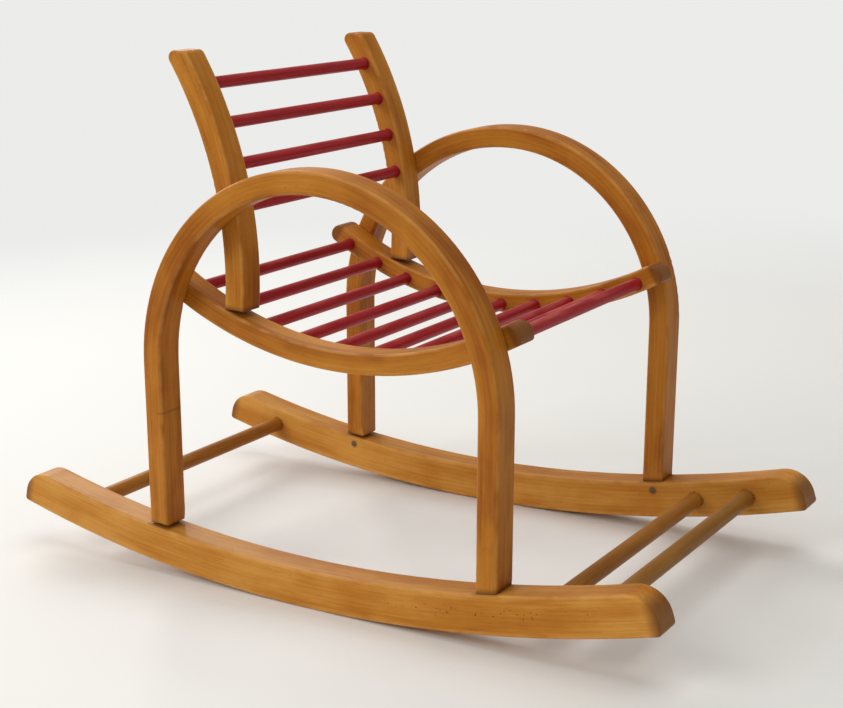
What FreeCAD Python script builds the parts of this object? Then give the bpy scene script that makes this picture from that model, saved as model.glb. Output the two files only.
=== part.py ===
import FreeCAD, Part
import math
import os

# Miniature bentwood rocking chair, in millimetres.
# +X points to the front of the chair, +Y to its left side, +Z up. The origin is on the floor,
# midway between the two runners and midway along them, where the level chair touches.

# Runners: two curved boards that the whole chair rocks on.
ROCK_RADIUS = 1025.0        # curve of the underside
RUNNER_HEIGHT = 27.8
RUNNER_WIDTH = 22.5
RUNNER_OUTER_Y = 135.0      # half of the chair's overall width
RUNNER_HALF_ANGLE = 15.2    # degrees of the rocking curve, each way from the middle
RUNNER_END_ROUNDING = 20.0  # big rounding of the upper corner at each end
RUNNER_TIP_ROUNDING = 3.0   # small rounding of the lower corner
RUNNER_ARRIS = 1.8

# Side hoops: each is one bent bar, two straight legs and the arm between them. They were bent by
# hand: the arm's rear shoulder has a wider curve than its front one, most of all on the left hoop.
HOOP_REACH = 146.6          # half of the width over both legs
HOOP_THICKNESS = 16.0
HOOP_WIDTH = 22.0
HOOP_OUTER_Y = 134.0
HOOP_ARRIS = 2.5
HOOP_CENTRE_X = 13.2
HOOP_CENTRE_Z = 157.8
CROWN_FORWARD = {"left": 7.5, "right": 2.9}     # top of the arm in front of the hoop's middle
CROWN_HEIGHT = {"left": 147.2, "right": 144.8}  # top of the arm above the hoop's centre
LEG_LENGTH = 126.0          # rough length below the hoop's centre, before the foot is fitted
FRAME_LEAN = 2.55           # hoops, rails and stiles lean forward from the runners' square, degrees

# Tenons under the legs, and the steel pins that hold them in the runners.
TENON_LENGTH = 10.0
TENON_WIDTH = 9.0
TENON_DEPTH = 18.0
FOOT_EASE_HEIGHT = 14.0
FOOT_EASE_DEPTH = 2.6
PIN_SHANK_RADIUS = 1.0
PIN_HEAD_RADIUS = 1.9
PIN_HEAD_HEIGHT = 1.0
PIN_LENGTH = 16.0
PIN_BELOW_TOP = 6.5         # distance of a pin below the runner's upper face

# The seat rails and the back stiles lie in one layer on the inner faces of the hoops.
LAYER_THICKNESS = 19.5
LAYER_OUTER_Y = HOOP_OUTER_Y - HOOP_WIDTH
LAYER_ARRIS = 1.8

# Seat rails: hollow upwards, a little deeper at the ends than in the middle.
# Their sizes, like those of the stiles, are measured from the hoop's centre.
RAIL_CENTRE_X = 2.0
RAIL_LOWER_RADIUS = 289.0
RAIL_LOWER_CENTRE_Z = 296.2
RAIL_UPPER_RADIUS = 266.0
RAIL_UPPER_CENTRE_Z = 287.9
RAIL_REAR_X = -146.0
RAIL_REAR_ROUNDING = 9.0    # of the upper corner of the rear end
RAIL_REAR_EASING = 6.0      # of its lower corner
RAIL_FRONT_X = 148.0
RAIL_FRONT_ROUNDING = 9.0
RAIL_FRONT_EASING = 3.0

# Back stiles: curved backwards towards the top.
STILE_CENTRE_X = -346.0
STILE_CENTRE_Z = 62.5
STILE_FRONT_RADIUS = 275.7
STILE_REAR_RADIUS = 259.2
STILE_TOP_Z = 213.6
STILE_TOP_ROUNDING = 5.0
STILE_PIN_RADIUS = 2.0
STILE_PIN_X = -80.0
STILE_PIN_UP = 11.0         # reach of the foot pin into the stile
STILE_PIN_DOWN = 10.5       # reach of the foot pin below the stile

# Red dowels of the seat and of the back.
DOWEL_RADIUS = 4.4
DOWEL_SOCKET = 12.0         # depth of the blind holes in the rails and stiles
HOOP_SOCKET = 12.0          # depth of the blind holes in the hoops
SEAT_DOWEL_COUNT = 10
SEAT_FIRST_ANGLE = -27.6    # degrees about the centre of the rail's middle line, at the rear leg
SEAT_LAST_ANGLE = 27.2      # at the front leg
SEAT_DOWEL_DROP = 1.2       # the row lies this far below the rail's middle line
BACK_DOWEL_COUNT = 4
BACK_FIRST_ANGLE = 28.6     # top dowel, degrees about the stile's centre
BACK_LAST_ANGLE = 9.8       # lowest dowel, where the stile crosses the hoop

# Round stretchers between the runners, at these angles along the rocking curve.
STRETCHER_RADIUS = 6.0
STRETCHER_SOCKET = 14.0
REAR_STRETCHER_ANGLE = -12.25
FRONT_STRETCHER_ANGLES = (10.4, 12.75)

RIGHT = -1
LEFT = 1
SIDES = {"left": LEFT, "right": RIGHT}
Y_AXIS = FreeCAD.Vector(0, 1, 0)
FRAME_PLACE = FreeCAD.Placement(
    FreeCAD.Vector(HOOP_CENTRE_X, 0, HOOP_CENTRE_Z),
    FreeCAD.Rotation(Y_AXIS, FRAME_LEAN),
)


def point(x, z, y=0.0):
    return FreeCAD.Vector(x, y, z)


def on_circle(centre_x, centre_z, radius, degrees):
    """Point of a circle in the side view, with 0 degrees straight down and + to the front."""
    turn = math.radians(degrees)
    return point(centre_x + radius * math.sin(turn), centre_z - radius * math.cos(turn))


def in_frame(shape):
    """Put a shape drawn about the hoop's centre where the leaning frame carries it."""
    placed = shape.copy()
    placed.Placement = FRAME_PLACE.multiply(placed.Placement)
    return placed


def frame_point(x, z):
    return FRAME_PLACE.multVec(point(x, z))


def board(edges, low_y, high_y):
    """Solid of constant width with the closed outline that the edges make."""
    face = Part.Face(Part.Wire(edges))
    solid = face.extrude(FreeCAD.Vector(0, high_y - low_y, 0))
    solid.translate(FreeCAD.Vector(0, low_y, 0))
    return solid


def span_of(outer_y, width, side):
    """Low and high Y of a layer that starts at outer_y and is width thick, on one side."""
    ends = (side * outer_y, side * (outer_y - width))
    return min(ends), max(ends)


def rod(x, z, low_y, high_y, radius):
    return Part.makeCylinder(radius, high_y - low_y, point(x, z, low_y), Y_AXIS)


def ease_long_edges(solid, low_y, high_y, radius):
    """Round the arrises: every edge that lies in one of the two side faces."""
    arrises = []
    for edge in solid.Edges:
        box = edge.BoundBox
        in_side_face = box.YLength < 0.01 and min(abs(box.YMin - low_y), abs(box.YMax - high_y)) < 0.01
        if in_side_face:
            arrises.append(edge)
    return solid.makeFillet(radius, arrises)


def cross_edges(solid, test):
    """Edges that run straight across the board and whose middle passes the test."""
    picked = []
    for edge in solid.Edges:
        straight_across = edge.BoundBox.XLength < 0.01 and edge.BoundBox.ZLength < 0.01
        if straight_across and test(edge.CenterOfMass):
            picked.append(edge)
    return picked


# Places

def runner_point(degrees, above_underside):
    return on_circle(0, ROCK_RADIUS, ROCK_RADIUS - above_underside, degrees)


def rail_top_z(x):
    reach = x - RAIL_CENTRE_X
    return RAIL_UPPER_CENTRE_Z - math.sqrt(RAIL_UPPER_RADIUS ** 2 - reach ** 2)


def rail_bottom_z(x):
    reach = x - RAIL_CENTRE_X
    return RAIL_LOWER_CENTRE_Z - math.sqrt(RAIL_LOWER_RADIUS ** 2 - reach ** 2)


def stile_foot_z():
    """The stile's square foot touches the sloping rail with its rear corner only."""
    foot_z = rail_top_z(STILE_CENTRE_X + STILE_REAR_RADIUS)
    rear_x = STILE_CENTRE_X + math.sqrt(STILE_REAR_RADIUS ** 2 - (foot_z - STILE_CENTRE_Z) ** 2)
    return rail_top_z(rear_x)


def evenly(first, last, count):
    return [first + (last - first) * i / (count - 1) for i in range(count)]


def seat_dowel_points():
    radius = (RAIL_LOWER_RADIUS + RAIL_UPPER_RADIUS) / 2
    centre_z = (RAIL_LOWER_CENTRE_Z + RAIL_UPPER_CENTRE_Z) / 2 - SEAT_DOWEL_DROP
    points = []
    for angle in evenly(SEAT_FIRST_ANGLE, SEAT_LAST_ANGLE, SEAT_DOWEL_COUNT):
        place = on_circle(RAIL_CENTRE_X, centre_z, radius, angle)
        points.append(frame_point(place.x, place.z))
    return points


def back_dowel_points():
    radius = (STILE_FRONT_RADIUS + STILE_REAR_RADIUS) / 2
    points = []
    for angle in evenly(BACK_FIRST_ANGLE, BACK_LAST_ANGLE, BACK_DOWEL_COUNT):
        turn = math.radians(angle)
        x = STILE_CENTRE_X + radius * math.cos(turn)
        z = STILE_CENTRE_Z + radius * math.sin(turn)
        points.append(frame_point(x, z))
    return points


def stretcher_points():
    angles = (REAR_STRETCHER_ANGLE,) + FRONT_STRETCHER_ANGLES
    return [runner_point(angle, RUNNER_HEIGHT / 2) for angle in angles]


def leg_ends():
    """Where the middle line of each leg meets the runner's upper face: rear, then front."""
    middle = HOOP_REACH - HOOP_THICKNESS / 2
    ends = []
    for facing in (-1, 1):
        depth = 0.0
        for _ in range(40):
            place = frame_point(facing * middle, -depth)
            reach = math.hypot(place.x, ROCK_RADIUS - place.z)
            depth += (ROCK_RADIUS - RUNNER_HEIGHT) - reach
        ends.append(place)
    return ends


# Cutting tools shared by the pieces

def tenon(place, depth, side):
    """Block under a leg, along the leg, from a little above the runner's upper face."""
    rise = 6.0
    middle_y = side * (HOOP_OUTER_Y - HOOP_WIDTH / 2)
    corner = FreeCAD.Vector(-TENON_LENGTH / 2, -TENON_WIDTH / 2, -depth)
    block = Part.makeBox(TENON_LENGTH, TENON_WIDTH, depth + rise, corner)
    block.Placement = FreeCAD.Placement(
        FreeCAD.Vector(place.x, middle_y, place.z), FreeCAD.Rotation(Y_AXIS, FRAME_LEAN)
    )
    return block


def pin_shapes(side):
    """The steel pins of one side, driven outwards from the runner's inner face."""
    inner_y = side * (RUNNER_OUTER_Y - RUNNER_WIDTH)
    outward = FreeCAD.Vector(0, side, 0)
    pins = []
    for place in leg_ends():
        away = point(place.x, place.z - ROCK_RADIUS).normalize()
        spot = point(place.x, place.z) + away * PIN_BELOW_TOP
        start = point(spot.x, spot.z, inner_y)
        head = Part.makeCylinder(PIN_HEAD_RADIUS, PIN_HEAD_HEIGHT, start, outward)
        shank = Part.makeCylinder(PIN_SHANK_RADIUS, PIN_LENGTH, start, outward)
        pins.append(head.fuse(shank).removeSplitter())
    return pins


def dowel_shape(place, end_y, radius=DOWEL_RADIUS):
    return rod(place.x, place.z, -end_y, end_y, radius)


def through_to_hoop():
    """Half length of the dowels that pass through the inner layer into the hoops."""
    return LAYER_OUTER_Y + HOOP_SOCKET


def in_layer_only():
    return LAYER_OUTER_Y - LAYER_THICKNESS + DOWEL_SOCKET


def seat_dowels():
    """The first dowel also pins the rails to the rear legs."""
    shapes = []
    for i, place in enumerate(seat_dowel_points()):
        reach = through_to_hoop() if i == 0 else in_layer_only()
        shapes.append(dowel_shape(place, reach))
    return shapes


def back_dowels():
    """The lowest dowel also pins the stiles to the hoops."""
    places = back_dowel_points()
    last = len(places) - 1
    shapes = []
    for i, place in enumerate(places):
        reach = through_to_hoop() if i == last else in_layer_only()
        shapes.append(dowel_shape(place, reach))
    return shapes


def stretchers():
    reach = RUNNER_OUTER_Y - RUNNER_WIDTH + STRETCHER_SOCKET
    return [dowel_shape(place, reach, STRETCHER_RADIUS) for place in stretcher_points()]


def stile_pin(side):
    """Wooden pin across the wedge-shaped gap between a stile's foot and the rail."""
    foot_z = stile_foot_z()
    middle_y = side * (LAYER_OUTER_Y - LAYER_THICKNESS / 2)
    start = point(STILE_PIN_X, foot_z - STILE_PIN_DOWN, middle_y)
    height = STILE_PIN_UP + STILE_PIN_DOWN
    return in_frame(Part.makeCylinder(STILE_PIN_RADIUS, height, start))


# Pieces

def runner(side):
    low_y, high_y = span_of(RUNNER_OUTER_Y, RUNNER_WIDTH, side)
    low = [runner_point(angle, 0) for angle in (-RUNNER_HALF_ANGLE, 0, RUNNER_HALF_ANGLE)]
    top = [runner_point(angle, RUNNER_HEIGHT) for angle in (RUNNER_HALF_ANGLE, 0, -RUNNER_HALF_ANGLE)]
    outline = [
        Part.Arc(*low).toShape(),
        Part.LineSegment(low[2], top[0]).toShape(),
        Part.Arc(*top).toShape(),
        Part.LineSegment(top[2], low[0]).toShape(),
    ]
    solid = board(outline, low_y, high_y)
    middle_z = runner_point(RUNNER_HALF_ANGLE, RUNNER_HEIGHT / 2).z
    solid = solid.makeFillet(RUNNER_END_ROUNDING, cross_edges(solid, lambda c: c.z > middle_z))
    solid = solid.makeFillet(RUNNER_TIP_ROUNDING, cross_edges(solid, lambda c: c.z < low[0].z + 0.1))
    solid = ease_long_edges(solid, low_y, high_y, RUNNER_ARRIS)
    mortise_slack = 0.5
    for place in leg_ends():
        solid = solid.cut(tenon(place, TENON_DEPTH + mortise_slack, side))
    for tool in stretchers() + pin_shapes(side):
        solid = solid.cut(tool)
    return solid


def hoop_bar(name, low_y, high_y):
    """The bent bar, drawn about the hoop's centre, with legs of rough length."""
    forward, height = CROWN_FORWARD[name], CROWN_HEIGHT[name]

    def legs_and_arm(inset):
        """One long face of the bar: rear leg, rear shoulder, front shoulder, front leg."""
        reach, crown = HOOP_REACH - inset, point(forward, height - inset)
        line = []
        for facing in (-1, 1):
            shoulder_radius = reach - facing * forward
            leg_top = point(facing * reach, crown.z - shoulder_radius)
            leg_foot = point(facing * reach, -LEG_LENGTH)
            middle = on_circle(crown.x, leg_top.z, shoulder_radius, facing * 135.0)
            shoulder = Part.Arc(leg_top, middle, crown).toShape()
            line += [Part.LineSegment(leg_foot, leg_top).toShape(), shoulder]
        return line

    outline = legs_and_arm(0.0) + legs_and_arm(HOOP_THICKNESS)
    for facing in (-1, 1):
        inner, outer = facing * (HOOP_REACH - HOOP_THICKNESS), facing * HOOP_REACH
        outline.append(Part.LineSegment(point(inner, -LEG_LENGTH), point(outer, -LEG_LENGTH)).toShape())
    solid = board(Part.__sortEdges__(outline), low_y, high_y)
    return ease_long_edges(solid, low_y, high_y, HOOP_ARRIS)


def foot_wedge(place, side):
    """Sliver pared off the inner face of a leg just above the runner."""
    inner_y = side * (HOOP_OUTER_Y - HOOP_WIDTH)
    below = 10.0
    spread = 2 * HOOP_THICKNESS
    deep_y = inner_y + side * FOOT_EASE_DEPTH * (FOOT_EASE_HEIGHT + below) / FOOT_EASE_HEIGHT
    corners = [
        FreeCAD.Vector(place.x - spread / 2, inner_y, place.z + FOOT_EASE_HEIGHT),
        FreeCAD.Vector(place.x - spread / 2, inner_y, place.z - below),
        FreeCAD.Vector(place.x - spread / 2, deep_y, place.z - below),
    ]
    face = Part.Face(Part.makePolygon(corners + corners[:1]))
    return face.extrude(FreeCAD.Vector(spread, 0, 0))


def hoop(name):
    side = SIDES[name]
    low_y, high_y = span_of(HOOP_OUTER_Y, HOOP_WIDTH, side)
    solid = in_frame(hoop_bar(name, low_y, high_y))
    over_runners = rod(0, ROCK_RADIUS, low_y, high_y, ROCK_RADIUS - RUNNER_HEIGHT)
    solid = solid.common(over_runners)
    for place in leg_ends():
        solid = solid.cut(foot_wedge(place, side))
        solid = solid.fuse(tenon(place, TENON_DEPTH, side))
    for tool in [seat_dowels()[0], back_dowels()[-1]] + pin_shapes(side):
        solid = solid.cut(tool)
    return solid.removeSplitter()


def rail(side):
    low_y, high_y = span_of(LAYER_OUTER_Y, LAYER_THICKNESS, side)
    rear_low = point(RAIL_REAR_X, rail_bottom_z(RAIL_REAR_X))
    rear_top = point(RAIL_REAR_X, rail_top_z(RAIL_REAR_X))
    front_low = point(RAIL_FRONT_X, rail_bottom_z(RAIL_FRONT_X))
    front_top = point(RAIL_FRONT_X, rail_top_z(RAIL_FRONT_X))
    outline = [
        Part.Arc(rear_low, point(RAIL_CENTRE_X, rail_bottom_z(RAIL_CENTRE_X)), front_low).toShape(),
        Part.LineSegment(front_low, front_top).toShape(),
        Part.Arc(front_top, point(RAIL_CENTRE_X, rail_top_z(RAIL_CENTRE_X)), rear_top).toShape(),
        Part.LineSegment(rear_top, rear_low).toShape(),
    ]
    solid = board(outline, low_y, high_y)
    corners = (
        (rear_top, RAIL_REAR_ROUNDING), (rear_low, RAIL_REAR_EASING),
        (front_top, RAIL_FRONT_ROUNDING), (front_low, RAIL_FRONT_EASING),
    )
    for corner, radius in corners:

        def at_corner(middle):
            return abs(middle.x - corner.x) + abs(middle.z - corner.z) < 0.1

        solid = solid.makeFillet(radius, cross_edges(solid, at_corner))
    solid = in_frame(ease_long_edges(solid, low_y, high_y, LAYER_ARRIS))
    for tool in seat_dowels() + [stile_pin(side)]:
        solid = solid.cut(tool)
    return solid


def stile(side):
    low_y, high_y = span_of(LAYER_OUTER_Y, LAYER_THICKNESS, side)

    def at_height(radius, z):
        return point(STILE_CENTRE_X + math.sqrt(radius ** 2 - (z - STILE_CENTRE_Z) ** 2), z)

    foot_z = stile_foot_z()
    middle_z = (foot_z + STILE_TOP_Z) / 2
    front = [at_height(STILE_FRONT_RADIUS, z) for z in (foot_z, middle_z, STILE_TOP_Z)]
    rear = [at_height(STILE_REAR_RADIUS, z) for z in (STILE_TOP_Z, middle_z, foot_z)]
    outline = [
        Part.Arc(*front).toShape(),
        Part.LineSegment(front[2], rear[0]).toShape(),
        Part.Arc(*rear).toShape(),
        Part.LineSegment(rear[2], front[0]).toShape(),
    ]
    solid = board(outline, low_y, high_y)
    solid = solid.makeFillet(STILE_TOP_ROUNDING, cross_edges(solid, lambda c: c.z > middle_z))
    solid = in_frame(ease_long_edges(solid, low_y, high_y, LAYER_ARRIS))
    for tool in back_dowels() + [stile_pin(side)]:
        solid = solid.cut(tool)
    return solid


def all_pieces():
    pieces = {}
    for name, side in SIDES.items():
        pieces[name + "_runner"] = runner(side)
        pieces[name + "_hoop"] = hoop(name)
        pieces[name + "_seat_rail"] = rail(side)
        pieces[name + "_back_stile"] = stile(side)
        pieces[name + "_stile_foot_pin"] = stile_pin(side)
        pieces[name + "_leg_pins"] = Part.makeCompound(pin_shapes(side))
    for i, shape in enumerate(seat_dowels()):
        pieces["seat_dowel_%02d" % (i + 1)] = shape
    for i, shape in enumerate(back_dowels()):
        pieces["back_dowel_%d" % (i + 1)] = shape
    names = ("rear_stretcher", "front_stretcher_inner", "front_stretcher_outer")
    pieces.update(zip(names, stretchers()))
    return pieces


os.makedirs("parts", exist_ok=True)
for node, piece in all_pieces().items():
    piece.exportStep("parts/%s.step" % node)
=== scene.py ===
import math
from collections import namedtuple

import bmesh
import bpy
from mathutils import Matrix, Vector


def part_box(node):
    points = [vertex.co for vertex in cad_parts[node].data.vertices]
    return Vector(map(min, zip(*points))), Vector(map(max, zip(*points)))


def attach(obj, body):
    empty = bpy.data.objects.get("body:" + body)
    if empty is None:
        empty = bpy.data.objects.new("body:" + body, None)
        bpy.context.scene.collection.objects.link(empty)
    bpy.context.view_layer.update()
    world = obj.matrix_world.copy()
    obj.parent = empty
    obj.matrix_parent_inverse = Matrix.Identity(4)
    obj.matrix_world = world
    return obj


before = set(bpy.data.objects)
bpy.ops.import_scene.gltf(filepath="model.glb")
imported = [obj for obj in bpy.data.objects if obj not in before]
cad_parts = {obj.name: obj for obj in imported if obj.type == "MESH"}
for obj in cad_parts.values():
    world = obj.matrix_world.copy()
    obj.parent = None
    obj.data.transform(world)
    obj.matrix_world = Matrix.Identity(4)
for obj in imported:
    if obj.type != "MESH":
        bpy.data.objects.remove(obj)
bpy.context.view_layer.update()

# Looks of the miniature bentwood rocking chair: honey varnish on the bent wood, dark red
# enamel on the dowels, darkened steel pins. Lengths are in metres, in the chair's own frame:
# +X to its front, +Y to its left side, +Z up, the origin on the floor under its middle.

# Sizes that the finishes follow, the same as those of the solids.
ROCK_RADIUS = 1.025
RUNNER_HALF_HEIGHT = 0.0139
RUNNER_HALF_WIDTH = 0.01125
RUNNER_MIDDLE_Y = 0.12375
RUNNER_HALF_LENGTH = 0.2715     # along the curve
HOOP_CENTRE = (0.0132, 0.1578)
FRAME_LEAN = math.radians(2.55)
HOOP_REACH = 0.1466             # half of the width over both legs of a hoop
CROWN_FORWARD = {1: 0.0075, -1: 0.0029}     # top of the arm on the left and on the right side
CROWN_HEIGHT = {1: 0.1472, -1: 0.1448}
HOOP_HALF_THICKNESS = 0.008
HOOP_HALF_WIDTH = 0.011
HOOP_MIDDLE_Y = 0.123
LAYER_MIDDLE_Y = 0.10225
LAYER_HALF_WIDTH = 0.00975
RAIL_CENTRE = (0.002, 0.2916)   # from the centre of the hoop
RAIL_MIDDLE_RADIUS = 0.2771
RAIL_HALF_HEIGHT = 0.0073
RAIL_HALF_LENGTH = 0.147
STILE_CENTRE = (-0.346, 0.0625)
STILE_MIDDLE_RADIUS = 0.26745
STILE_HALF_THICKNESS = 0.00825
LEG_FEET = ((-0.1309, 0.0364), (0.1466, 0.0386))
LEG_PINS = ((-0.1318, 0.0300), (0.1476, 0.0322))

LEFT = 1
RIGHT = -1
SIDES = {"left": LEFT, "right": RIGHT}

# Colours of the finishes, as linear light.
HONEY_PALE = (0.62, 0.290, 0.052, 1)
HONEY = (0.48, 0.178, 0.016, 1)
HONEY_DEEP = (0.30, 0.080, 0.004, 1)
END_GRAIN = (0.140, 0.045, 0.011, 1)
# dark brown for flecks, knocks, pin halos and the scar, and for painted shade at joints and on the
# runners' tops
AGED_STAIN_AND_SHADE = (0.060, 0.022, 0.008, 1)
# pale for the arrises: worn varnish, and a painted highlight along the rounded edges
ARRIS_WEAR_AND_HIGHLIGHT = (0.70, 0.360, 0.100, 1)
OLIVE_TINGE = (0.21, 0.115, 0.022, 1)
ENAMEL_DEEP = (0.260, 0.0060, 0.0110, 1)
ENAMEL = (0.420, 0.0120, 0.0190, 1)
# paler enamel for rubs and dust, and for the painted highlight on the dowels' tops
ENAMEL_RUBBED_AND_LIT = (0.500, 0.1050, 0.0850, 1)
STEEL_DARK = (0.050, 0.038, 0.030, 1)
STEEL_BRIGHT = (0.220, 0.190, 0.165, 1)
RUST = (0.110, 0.034, 0.012, 1)

# Growth rings: their slant across a bar, how close they lie, and how far they wander.
RING_SLANT = 0.55
RING_RATE = 1900
RING_SWAY = 9.0

# Depth of the finishes' relief, and how far from a socket the enamel is darkened by painted shade.
VARNISH_RELIEF = 0.00018
ENAMEL_RELIEF = 0.00016
STEEL_RELIEF = 0.00012
SOCKET_SHADE = 0.0035

# Marks of use on the wood, and the painted shade at its joints and on the runners' tops.
END_GRAIN_REACH = 0.0100        # how far the end grain shows along a runner's rounded end
SKIN = (0.0030, 0.0004)         # depth below a side face at which a mark on that face fades out
PIN_HALO = (0.0016, 0.0042)     # from full darkness to none, round a pin head
FOOT_SHADE = (0.0085, 0.0125)   # the same, round the foot of a leg
TOP_SHADE = 0.0015              # depth below a runner's top face that its shade reaches
KNOCK_RATE = 420
KNOCKS_START, KNOCKS_END = (0.05, 0.09), (0.20, 0.24)
KNOCK_BAND = (0.001, 0.005)
SEAM_SHADE = 0.0045
SCAR_WIDTH = (0.0004, 0.0013)
SCAR_ALONG = 0.2223 + 0.0356    # from the top of the right hoop's arm, down its rear leg

# Studio
BACKDROP = (0.835, 0.842, 0.828, 1)
ROOM_LIGHT = (1.0, 0.985, 0.95, 1)
ROOM_STRENGTH = 0.36
FLOOR_DIM = (0.75, 0.748, 0.728, 1)
FLOOR_PALE = (0.79, 0.788, 0.770, 1)
FLOOR_HALF_SIZE = 5.0
FLOOR_FADE = (0.6, 1.7)         # distances over which the floor melts into the backdrop
LIT_POINT = (0.0, 0.0, 0.12)    # where the lamps aim, inside the chair
LAMPS = (                       # name, place, size, power, colour
    ("window_behind", (-2.15, 1.2, 1.6), (1.7, 1.3), 40, (1.0, 0.99, 0.97)),
    ("side_panel", (-1.3, -2.0, 1.6), (1.8, 1.6), 38, (1.0, 0.99, 0.96)),
    ("overhead_panel", (0.35, 0.0, 2.4), (2.0, 2.0), 21, (1.0, 0.985, 0.96)),
)
CAMERA_PLACE = (0.6310, -0.9245, 0.4300)
CAMERA_TURN = (75.896, 2.066, 33.122)
CAMERA_LENS = 66.96


class Value:
    """A number that changes over a surface. Python's operators add the nodes that work it out."""

    def __init__(self, finish, socket):
        self.finish = finish
        self.socket = socket

    def maths(self, operation, *others):
        inputs = dict(enumerate((self,) + others))
        return self.finish.add("ShaderNodeMath", {"operation": operation}, inputs)

    def __add__(self, other):
        return self.maths("ADD", other)

    def __radd__(self, other):
        return self.maths("ADD", other)

    def __sub__(self, other):
        return self.maths("SUBTRACT", other)

    def __rsub__(self, other):
        return self.maths("MULTIPLY", -1.0).maths("ADD", other)

    def __mul__(self, other):
        return self.maths("MULTIPLY", other)

    def __rmul__(self, other):
        return self.maths("MULTIPLY", other)

    def __truediv__(self, other):
        return self.maths("DIVIDE", other)

    def __pow__(self, other):
        return self.maths("POWER", other)

    def __abs__(self):
        return self.maths("ABSOLUTE")

    def __neg__(self):
        return self.maths("MULTIPLY", -1.0)

    def at_least(self, other):
        return self.maths("MAXIMUM", other)

    def sine(self):
        return self.maths("SINE")

    def side_of(self):
        return self.maths("SIGN")

    def turn_from(self, other):
        """Angle whose opposite side is this value and whose adjacent side is the other."""
        return self.maths("ARCTAN2", other)

    def length_with(self, other):
        return (self * self + other * other) ** 0.5

    def rise(self, low, high):
        """0 below low, 1 above high, and a smooth rise between them."""
        return self.finish.add(
            "ShaderNodeMapRange",
            {"interpolation_type": "SMOOTHSTEP"},
            {"Value": self, "From Min": low, "From Max": high},
        )

    def fall(self, low, high):
        return 1 - self.rise(low, high)


class Nodes:
    """The nodes of one material or of the world, all added by one method."""

    def __init__(self, owner):
        owner.use_nodes = True
        self.tree = owner.node_tree
        self.tree.nodes.clear()

    def add(self, kind, settings=None, inputs=None, output=0):
        """Add a node: its settings first, then its sockets' values or links. Gives one output."""
        node = self.tree.nodes.new(kind)
        for name, setting in (settings or {}).items():
            setattr(node, name, setting)
        for name, given in (inputs or {}).items():
            if isinstance(given, Value):
                self.tree.links.new(given.socket, node.inputs[name])
            else:
                node.inputs[name].default_value = given
        return Value(self, node.outputs[output]) if len(node.outputs) else None


class Finish(Nodes):
    """One material, and the place on the piece that its patterns follow."""

    def __init__(self, name):
        self.material = bpy.data.materials.new(name)
        super().__init__(self.material)
        place = self.add("ShaderNodeTexCoord", output="Object")
        self.x, self.y, self.z = self.parts(place)

    def parts(self, vector):
        split = self.add("ShaderNodeSeparateXYZ", inputs={0: vector})
        return [Value(self, socket) for socket in split.socket.node.outputs]

    def noise(self, place, detail=2.0, roughness=0.5):
        settings = {"noise_dimensions": "3D"}
        inputs = {"Vector": place, "Scale": 1.0, "Detail": detail, "Roughness": roughness}
        return self.add("ShaderNodeTexNoise", settings, inputs)

    def spot(self, x, y, z):
        return self.add("ShaderNodeCombineXYZ", inputs={0: x, 1: y, 2: z})

    def mix(self, share, colour, other):
        settings = {"data_type": "RGBA", "blend_type": "MIX"}
        return self.add("ShaderNodeMix", settings, {0: share, 6: colour, 7: other}, output=2)

    def surface(self, colour, roughness, height, depth, **constants):
        """Close the material: a coated surface with a bump of the given depth in metres."""
        bump = self.add("ShaderNodeBump", inputs={"Strength": 1.0, "Distance": depth, "Height": height})
        inputs = {"Base Color": colour, "Roughness": roughness, "Normal": bump}
        inputs.update({name.replace("_", " "): number for name, number in constants.items()})
        shader = self.add("ShaderNodeBsdfPrincipled", inputs=inputs)
        self.add("ShaderNodeOutputMaterial", inputs={"Surface": shader})
        return self.material


# Where a point lies in a bar of wood: along its grain, across its curve, and to the side.
Run = namedtuple("Run", "along across beside half_across half_beside")


def in_frame(finish):
    """Place in the side view, from the centre of the hoop and square with the leaning frame."""
    x = finish.x - HOOP_CENTRE[0]
    z = finish.z - HOOP_CENTRE[1]
    return (
        x * math.cos(FRAME_LEAN) - z * math.sin(FRAME_LEAN),
        x * math.sin(FRAME_LEAN) + z * math.cos(FRAME_LEAN),
    )


def runner_run(finish, side):
    drop = ROCK_RADIUS - finish.z
    middle = ROCK_RADIUS - RUNNER_HALF_HEIGHT
    return Run(
        finish.x.turn_from(drop) * ROCK_RADIUS,
        finish.x.length_with(drop) - middle,
        finish.y - side * RUNNER_MIDDLE_Y,
        RUNNER_HALF_HEIGHT,
        RUNNER_HALF_WIDTH,
    )


def hoop_run(finish, side):
    """The grain runs up one leg, round the arm and down the other leg."""
    x, z = in_frame(finish)
    forward, height = CROWN_FORWARD[side], CROWN_HEIGHT[side]
    reach = x - forward
    front = reach.rise(-0.00001, 0.00001)
    radius = front * (-2.0 * forward) + (HOOP_REACH + forward - HOOP_HALF_THICKNESS)
    above_leg = z - (height - HOOP_HALF_THICKNESS) + radius
    above = above_leg.at_least(0.0)
    down_leg = (-above_leg).at_least(0.0)
    return Run(
        reach.turn_from(above) * radius + reach.side_of() * down_leg,
        reach.length_with(above) - radius,
        finish.y - side * HOOP_MIDDLE_Y,
        HOOP_HALF_THICKNESS,
        HOOP_HALF_WIDTH,
    )


def rail_run(finish, side):
    x, z = in_frame(finish)
    reach = x - RAIL_CENTRE[0]
    drop = RAIL_CENTRE[1] - z
    return Run(
        reach.turn_from(drop) * RAIL_MIDDLE_RADIUS,
        reach.length_with(drop) - RAIL_MIDDLE_RADIUS,
        finish.y - side * LAYER_MIDDLE_Y,
        RAIL_HALF_HEIGHT,
        LAYER_HALF_WIDTH,
    )


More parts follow.
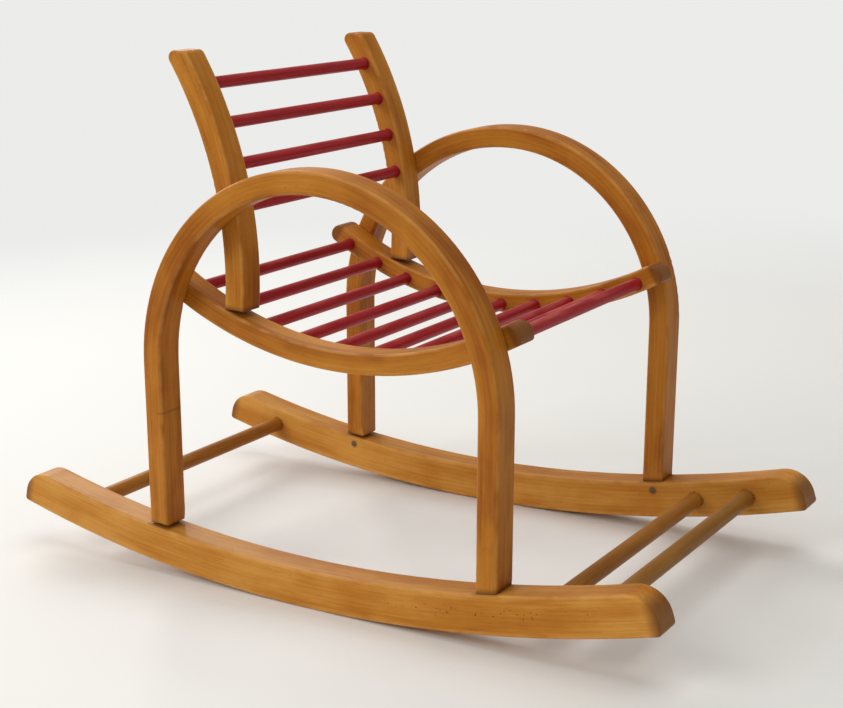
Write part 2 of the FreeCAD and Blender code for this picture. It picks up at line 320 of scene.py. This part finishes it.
def stile_run(finish, side):
    x, z = in_frame(finish)
    reach = x - STILE_CENTRE[0]
    rise = z - STILE_CENTRE[1]
    return Run(
        rise.turn_from(reach) * STILE_MIDDLE_RADIUS,
        reach.length_with(rise) - STILE_MIDDLE_RADIUS,
        finish.y - side * LAYER_MIDDLE_Y,
        STILE_HALF_THICKNESS,
        LAYER_HALF_WIDTH,
    )


def dowel_middle(node):
    low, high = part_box(node)
    middle = (low + high) / 2
    return middle.x, middle.z, (high.x - low.x) / 2


def round_run(finish, node):
    """A turned rod: its grain runs straight across the chair."""
    x, z, radius = dowel_middle(node)
    return Run(finish.y, finish.x - x, finish.z - z, radius, radius)


def close_to(finish, place, near, far):
    """1 within near of a point of the side view, and 0 beyond far of it."""
    away = (finish.x - place[0]).length_with(finish.z - place[1])
    return away.fall(near, far)


def add_up(masks):
    total = masks[0]
    for mask in masks[1:]:
        total = total.at_least(mask)
    return total


def varnished_wood(name, seed, layout, of, tone, end_masks=None, stain_and_shade_masks=None, tinge=0.0):
    """Bent beech under amber varnish. layout tells how the grain runs in the piece on a side of the
    chair, or in the node, that is given as of; tone makes the wood darker, tinge greener."""
    finish = Finish(name)
    run = layout(finish, of)

    def texture(along, across, beside, **settings):
        place = finish.spot(
            run.along * along + seed * 7.3,
            run.across * across + seed * 3.1,
            run.beside * beside + seed * 5.7,
        )
        return finish.noise(place, **settings)

    figure = texture(7, 55, 55, detail=3.0, roughness=0.55)
    cloud = texture(26, 40, 40, detail=2.0)
    sway = texture(9, 30, 30, detail=1.0)
    slope = run.across + run.beside * RING_SLANT
    rings = (slope * RING_RATE + sway * RING_SWAY + seed).sine() * 0.5 + 0.5
    streaks = texture(16, 900, 700, detail=4.0, roughness=0.65)
    pores = texture(170, 2300, 2000, detail=1.0).rise(0.60, 0.72)
    flecks = texture(420, 900, 900, detail=1.0).rise(0.70, 0.78)

    depth = figure.rise(0.30, 0.72) * 0.50 + cloud.rise(0.35, 0.70) * 0.22
    depth = depth + rings * 0.08 + streaks.rise(0.35, 0.68) * 0.19 + (tone - 0.5)
    colour = finish.mix(depth.rise(0.0, 0.60), HONEY_PALE, HONEY)
    colour = finish.mix(depth.rise(0.50, 1.15), colour, HONEY_DEEP)
    colour = finish.mix(pores * 0.30, colour, HONEY_DEEP)
    colour = finish.mix(flecks * 0.35, colour, AGED_STAIN_AND_SHADE)
    if tinge:
        colour = finish.mix(tinge, colour, OLIVE_TINGE)

    # Pale arrises: worn varnish, and a painted highlight along the rounded edges of every bar.
    corner = (abs(run.across) / run.half_across) * (abs(run.beside) / run.half_beside)
    worn_and_lit_arris = corner.rise(0.70, 0.93) * texture(60, 60, 60, detail=2.0).rise(0.30, 0.62)
    colour = finish.mix(worn_and_lit_arris * 0.45, colour, ARRIS_WEAR_AND_HIGHLIGHT)
    if end_masks:
        colour = finish.mix(add_up(end_masks(finish, run)) * 0.75, colour, END_GRAIN)
    # Stains, and painted shade where parts meet and over the runners' top faces.
    if stain_and_shade_masks:
        colour = finish.mix(add_up(stain_and_shade_masks(finish, run)) * 0.80, colour, AGED_STAIN_AND_SHADE)

    roughness = 0.36 + streaks * 0.10 + worn_and_lit_arris * 0.08 + cloud * 0.06
    peel = texture(130, 160, 160, detail=1.0)
    height = streaks * 0.30 + peel * 0.9 - pores * 0.25
    return finish.surface(
        colour, roughness, height, VARNISH_RELIEF,
        Coat_Weight=0.08, Coat_Roughness=0.22, Coat_IOR=1.45, IOR=1.22,
    )


def red_enamel(name, seed, node, rubbed_and_lit, socket_y):
    """Brushed dark red enamel, rubbed on top where a doll sits and paler there with a painted highlight,
    most on the front dowels, and darkened towards the sockets with painted shade.
    """
    finish = Finish(name)
    run = round_run(finish, node)

    def texture(along, around, **settings):
        place = finish.spot(
            run.along * along + seed * 4.9,
            run.across * around + seed * 2.3,
            run.beside * around + seed * 6.1,
        )
        return finish.noise(place, **settings)

    brushed = texture(12, 620, detail=4.0, roughness=0.6)
    patches = texture(30, 160, detail=3.0)
    dust = texture(700, 900, detail=1.0).rise(0.66, 0.76)
    colour = finish.mix(brushed.rise(0.30, 0.70), ENAMEL_DEEP, ENAMEL)
    colour = finish.mix(patches.rise(0.35, 0.75) * 0.40, colour, ENAMEL)
    # The upper side is paler: rubbed enamel, and a painted highlight that is strongest on the front
    # dowels.
    upward = (run.beside / run.half_beside).rise(0.35, 1.0)
    rub_and_highlight = upward * patches.rise(0.38, 0.66) * rubbed_and_lit
    colour = finish.mix(rub_and_highlight, colour, ENAMEL_RUBBED_AND_LIT)
    colour = finish.mix(dust * 0.25, colour, ENAMEL_RUBBED_AND_LIT)
    # painted shade: the enamel darkens towards the sockets in the rails
    at_socket = abs(finish.y).rise(socket_y - SOCKET_SHADE, socket_y)
    colour = finish.mix(at_socket * 0.65, colour, AGED_STAIN_AND_SHADE)
    roughness = 0.33 + brushed * 0.12 + rub_and_highlight * 0.15
    height = brushed * 0.5 + texture(90, 260, detail=1.0) * 0.8
    return finish.surface(
        colour, roughness, height, ENAMEL_RELIEF,
        Coat_Weight=0.06, Coat_Roughness=0.22, Coat_IOR=1.45, IOR=1.28,
    )


def dulled_steel(name, seed):
    """Pin heads: scratched, dark with age, and touched with rust."""
    finish = Finish(name)
    place = finish.spot(finish.x * 1400 + seed, finish.y * 1400, finish.z * 1400)
    grit = finish.noise(place, detail=3.0, roughness=0.6)
    slow = finish.noise(finish.spot(finish.x * 500, finish.y * 500, finish.z * 500 + seed))
    colour = finish.mix(grit.rise(0.35, 0.70), STEEL_DARK, STEEL_BRIGHT)
    colour = finish.mix(slow.rise(0.40, 0.65) * 0.8, colour, RUST)
    roughness = 0.40 + slow * 0.30
    return finish.surface(colour, roughness, grit, STEEL_RELIEF, Metallic=0.75, IOR=1.5)


def set_finish(piece, material):
    piece.data.materials.clear()
    piece.data.materials.append(material)


# Places where the wood is darker

def runner_ends(finish, run):
    """End grain shows more and more round the big rounding of each end."""
    return [abs(run.along).rise(RUNNER_HALF_LENGTH - END_GRAIN_REACH, RUNNER_HALF_LENGTH - 0.0005)]


def runner_stains_and_shade(side):
    """Painted shade round the feet of the legs and over the runner's whole top face, a dark halo round
    each pin head, and small knocks in a row along the front half of the outer face."""
    def masks(finish, run):
        deep, shallow = (RUNNER_HALF_WIDTH - depth for depth in SKIN)
        inner = (run.beside * -side).rise(deep, shallow)
        outer = (run.beside * side).rise(deep, shallow)
        top = run.across.fall(-RUNNER_HALF_HEIGHT, -RUNNER_HALF_HEIGHT + TOP_SHADE)
        halos = [close_to(finish, pin, *PIN_HALO) * inner for pin in LEG_PINS]
        # painted shade round the foot of each leg, on the runner's top face
        feet = [close_to(finish, foot, *FOOT_SHADE) * 0.55 for foot in LEG_FEET]
        place = finish.spot(finish.x * KNOCK_RATE, finish.y * KNOCK_RATE, finish.z * KNOCK_RATE)
        specks = finish.noise(place, detail=1.0).rise(0.66, 0.71)
        knocks = specks * abs(run.across + 0.001).fall(*KNOCK_BAND)
        knocks = knocks * run.along.rise(*KNOCKS_START) * run.along.fall(*KNOCKS_END)
        # top * 0.16 is painted shade over the whole top face of the runner
        return halos + [foot * top for foot in feet] + [top * 0.16, knocks * outer * 0.9]
    return masks


def hoop_stains_and_shade(scar):
    """A dark line of painted shade at the foot of each leg, where it meets the runner; on one hoop also
    an old scar across the rear leg.
    """
    def masks(finish, run):
        from_rocking_centre = finish.x.length_with(ROCK_RADIUS - finish.z)
        seam = ROCK_RADIUS - 2 * RUNNER_HALF_HEIGHT
        # painted shade in a band just above the runner's top face
        found = [from_rocking_centre.rise(seam - SEAM_SHADE, seam) * 0.85]
        if scar:
            down = abs(run.along + scar)
            front = run.across.fall(-HOOP_HALF_THICKNESS * 0.7, -HOOP_HALF_THICKNESS * 0.2)
            found.append(down.fall(*SCAR_WIDTH) * front * 0.40)
        return found
    return masks


def rail_ends(finish, run):
    return [abs(run.along).rise(RAIL_HALF_LENGTH - 0.004, RAIL_HALF_LENGTH + 0.0005)]


def stile_ends(finish, run):
    top = run.along.rise(0.157, 0.163)
    foot = run.along.fall(-0.0245, -0.0200)
    return [top * 0.5, foot]


# Wooden pieces

def finish_sides():
    for number, (name, side) in enumerate(SIDES.items()):
        seed = 2.0 + number * 11
        scar = SCAR_ALONG if side == RIGHT else 0.0
        pieces = (
            ("runner", runner_run, 0.44, runner_ends, runner_stains_and_shade(side)),
            ("hoop", hoop_run, 0.80, None, hoop_stains_and_shade(scar)),
            ("seat_rail", rail_run, 0.66, rail_ends, None),
            ("back_stile", stile_run, 0.66, stile_ends, None),
        )
        for step, (piece, layout, tone, ends, stain_and_shade_maker) in enumerate(pieces):
            node = "%s_%s" % (name, piece)
            material = varnished_wood(
                "varnish_on_" + node, seed + step * 2.7, layout, side, tone, ends, stain_and_shade_maker
            )
            set_finish(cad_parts[node], material)
        foot_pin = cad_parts[name + "_stile_foot_pin"]
        set_finish(foot_pin, bpy.data.materials["varnish_on_%s_back_stile" % name])
        set_finish(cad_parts[name + "_leg_pins"], dulled_steel("pin_steel_" + name, seed))


def stretcher_socket_shade(finish, run):
    inner_face = RUNNER_MIDDLE_Y - RUNNER_HALF_WIDTH
    # painted shade: the stretcher darkens towards the runner it enters
    return [abs(finish.y).rise(inner_face - 0.004, inner_face) * 0.6]


def finish_stretchers():
    stretchers = (
        ("rear_stretcher", 0.84, 0.30),
        ("front_stretcher_inner", 0.86, 0.42),
        ("front_stretcher_outer", 0.86, 0.60),
    )
    for number, (node, tone, tinge) in enumerate(stretchers):
        material = varnished_wood(
            "varnish_on_" + node, 31.0 + number * 4.3, round_run, node, tone,
            stain_and_shade_masks=stretcher_socket_shade, tinge=tinge,
        )
        set_finish(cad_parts[node], material)


def dowel_names():
    seat = ["seat_dowel_%02d" % (i + 1) for i in range(10)]
    back = ["back_dowel_%d" % (i + 1) for i in range(4)]
    return seat, back


def finish_dowels():
    seat, back = dowel_names()
    socket_y = LAYER_MIDDLE_Y - LAYER_HALF_WIDTH
    for number, node in enumerate(seat + back):
        # rub and painted highlight on top, growing towards the front dowel
        rubbed_and_lit = 0.35
        if node in seat:
            rubbed_and_lit = 0.40 + 0.45 * (number / (len(seat) - 1)) ** 2
        material = red_enamel("enamel_on_" + node, 3.0 + number * 1.9, node, rubbed_and_lit, socket_y)
        set_finish(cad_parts[node], material)


# Beads of paint and glue round the rods, where they enter the wood

BEAD_STEPS = 28


def add_bead(mesh, x, z, face_y, inward, radius, size):
    """A hollow fillet round a rod, from the face it enters up onto the rod."""
    profile = ((radius + size, 0.0), (radius + size * 0.35, size * 0.30), (radius, size))
    loops = []
    for reach, lift in profile:
        place = Matrix.Translation((x, face_y + inward * lift, z)) @ Matrix.Rotation(math.pi / 2, 4, "X")
        ring = bmesh.ops.create_circle(mesh, segments=BEAD_STEPS, radius=reach, matrix=place)
        edges = {edge for vert in ring["verts"] for edge in vert.link_edges}
        loops.append(list(edges))
    for first, second in zip(loops, loops[1:]):
        bmesh.ops.bridge_loops(mesh, edges=first + second)


def beads(name, nodes, face_y, size, material):
    mesh = bmesh.new()
    for node in nodes:
        x, z, radius = dowel_middle(node)
        for side in SIDES.values():
            add_bead(mesh, x, z, side * face_y, -side, radius, size)
    bmesh.ops.recalc_face_normals(mesh, faces=mesh.faces)
    for face in mesh.faces:
        face.smooth = True
    data = bpy.data.meshes.new(name)
    mesh.to_mesh(data)
    mesh.free()
    piece = bpy.data.objects.new(name, data)
    bpy.context.scene.collection.objects.link(piece)
    set_finish(piece, material)
    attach(piece, "root")
    return piece


def bead_finish(name, pale, deep, roughness):
    finish = Finish(name)
    blobs = finish.noise(finish.spot(finish.x * 700, finish.y * 700, finish.z * 700), detail=2.0)
    colour = finish.mix(blobs.rise(0.35, 0.65), deep, pale)
    return finish.surface(
        colour, roughness + blobs * 0.1, blobs, 0.0002, Coat_Weight=0.08, Coat_Roughness=0.3, IOR=1.3
    )


def make_beads():
    seat, back = dowel_names()
    inner_face = LAYER_MIDDLE_Y - LAYER_HALF_WIDTH
    runner_face = RUNNER_MIDDLE_Y - RUNNER_HALF_WIDTH
    paint = bead_finish("pooled_enamel", ENAMEL, ENAMEL_DEEP, 0.40)
    glue = bead_finish("old_glue", HONEY, HONEY_DEEP, 0.40)
    stretchers = ("rear_stretcher", "front_stretcher_inner", "front_stretcher_outer")
    beads("seat_paint_beads", seat, inner_face, 0.0007, paint)
    beads("back_paint_beads", back, inner_face, 0.0007, paint)
    beads("stretcher_glue_beads", stretchers, runner_face, 0.0008, glue)


# Studio

def make_floor():
    """A pale floor that fades into the pale surroundings well away from the chair."""
    mesh = bmesh.new()
    bmesh.ops.create_grid(mesh, x_segments=2, y_segments=2, size=FLOOR_HALF_SIZE)
    data = bpy.data.meshes.new("studio_floor")
    mesh.to_mesh(data)
    mesh.free()
    floor = bpy.data.objects.new("studio_floor", data)
    bpy.context.scene.collection.objects.link(floor)
    finish = Finish("pale_tabletop")
    cloud = finish.noise(finish.spot(finish.x * 2.2, finish.y * 2.2, finish.z), detail=2.0)
    fine = finish.noise(finish.spot(finish.x * 160, finish.y * 160, finish.z), detail=2.0)
    colour = finish.mix(cloud, FLOOR_DIM, FLOOR_PALE)
    fade = finish.x.length_with(finish.y).fall(*FLOOR_FADE)
    material = finish.surface(colour, 0.62 + cloud * 0.1, fine, 0.0001, IOR=1.4, Alpha=fade)
    floor.data.materials.append(material)


def soft_light(name, place, size, power, colour):
    data = bpy.data.lights.new(name, "AREA")
    data.shape = "RECTANGLE"
    data.size, data.size_y = size
    data.energy = power
    data.color = colour
    lamp = bpy.data.objects.new(name, data)
    lamp.location = place
    lamp.rotation_euler = (Vector(LIT_POINT) - Vector(place)).to_track_quat("-Z", "Y").to_euler()
    lamp.visible_camera = False
    bpy.context.scene.collection.objects.link(lamp)


def make_surroundings():
    """Seen directly, an even pale backdrop; as a source of light, a dimmer room."""
    world = bpy.data.worlds.new("pale_room")
    nodes = Nodes(world)
    seen = nodes.add("ShaderNodeBackground", inputs={"Color": BACKDROP, "Strength": 1.0})
    lit = nodes.add("ShaderNodeBackground", inputs={"Color": ROOM_LIGHT, "Strength": ROOM_STRENGTH})
    directly = nodes.add("ShaderNodeLightPath", output="Is Camera Ray")
    choice = nodes.add("ShaderNodeMixShader", inputs={0: directly, 1: lit, 2: seen})
    nodes.add("ShaderNodeOutputWorld", inputs={"Surface": choice})
    bpy.context.scene.world = world
    bpy.context.scene.view_settings.view_transform = "Standard"


def make_lights():
    for lamp in LAMPS:
        soft_light(*lamp)


def make_camera():
    data = bpy.data.cameras.new("camera")
    data.sensor_width = 36.0
    data.lens = CAMERA_LENS
    data.clip_start, data.clip_end = 0.05, 50.0
    camera = bpy.data.objects.new("camera", data)
    camera.location = CAMERA_PLACE
    camera.rotation_euler = [math.radians(turn) for turn in CAMERA_TURN]
    bpy.context.scene.collection.objects.link(camera)
    bpy.context.scene.camera = camera


make_floor()
make_surroundings()
make_lights()
make_camera()
finish_sides()
finish_stretchers()
finish_dowels()
make_beads()
